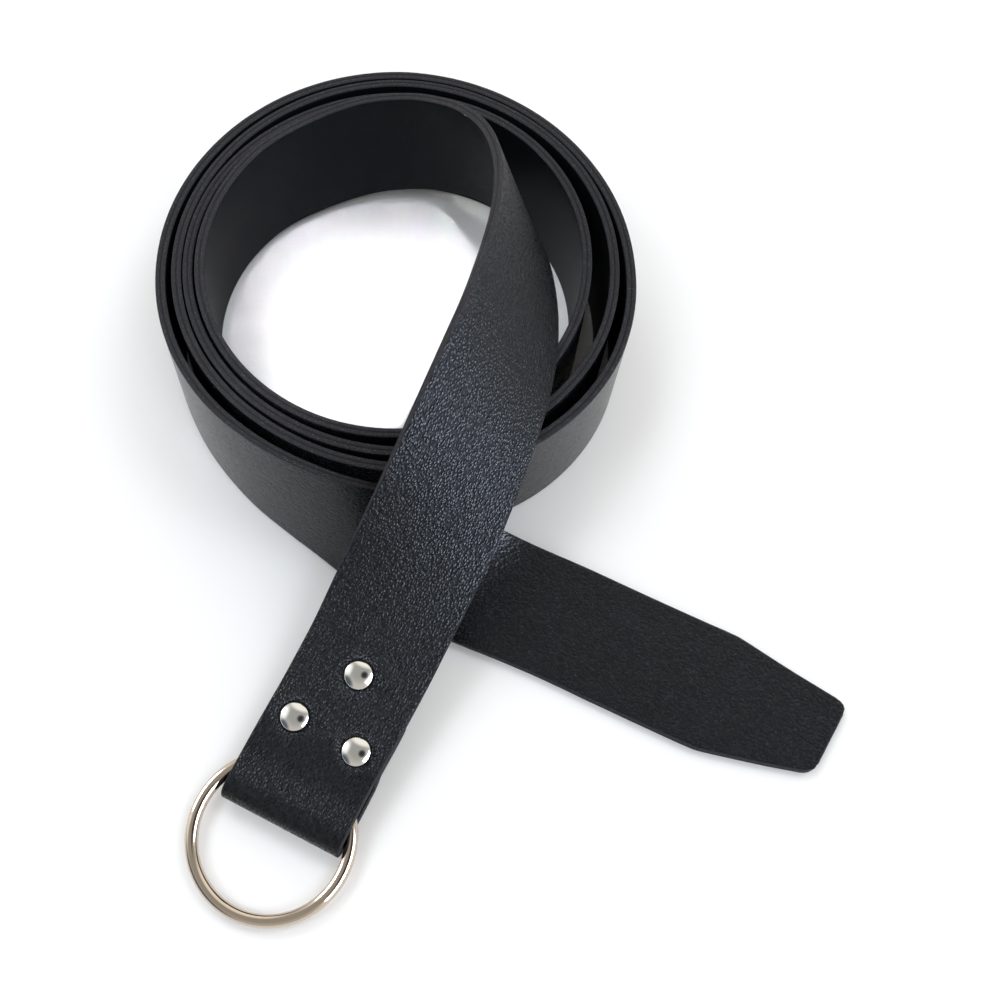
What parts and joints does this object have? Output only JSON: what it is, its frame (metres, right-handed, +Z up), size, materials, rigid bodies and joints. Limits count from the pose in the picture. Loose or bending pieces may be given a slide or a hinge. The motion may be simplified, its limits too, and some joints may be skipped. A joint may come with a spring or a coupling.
{
  "type": "ring belt",
  "caption": "Long grained leather strap coiled on its edge, with a metal ring riveted into one folded end and a tapered free tip.",
  "frame": {"origin": "on the surface that the belt lies on, under the middle of its bounding box", "axes": "+Z up, the ring lies towards -Y, the tapered tip towards +X and -Y, the coil towards +Y"},
  "size_m": [0.2222, 0.2886, 0.0728],
  "materials": {
    "strap": "black pebble-grained leather with a soft sheen, cut edges dark grey-brown",
    "ring": "polished nickel plate, slightly warm",
    "rivet": "polished nickel plate"
  },
  "bodies": {
    "root": {"strap": "strap", "ring": "ring", "rivet_top": "rivet", "rivet_left": "rivet", "rivet_right": "rivet"}
  },
  "joints": []
}
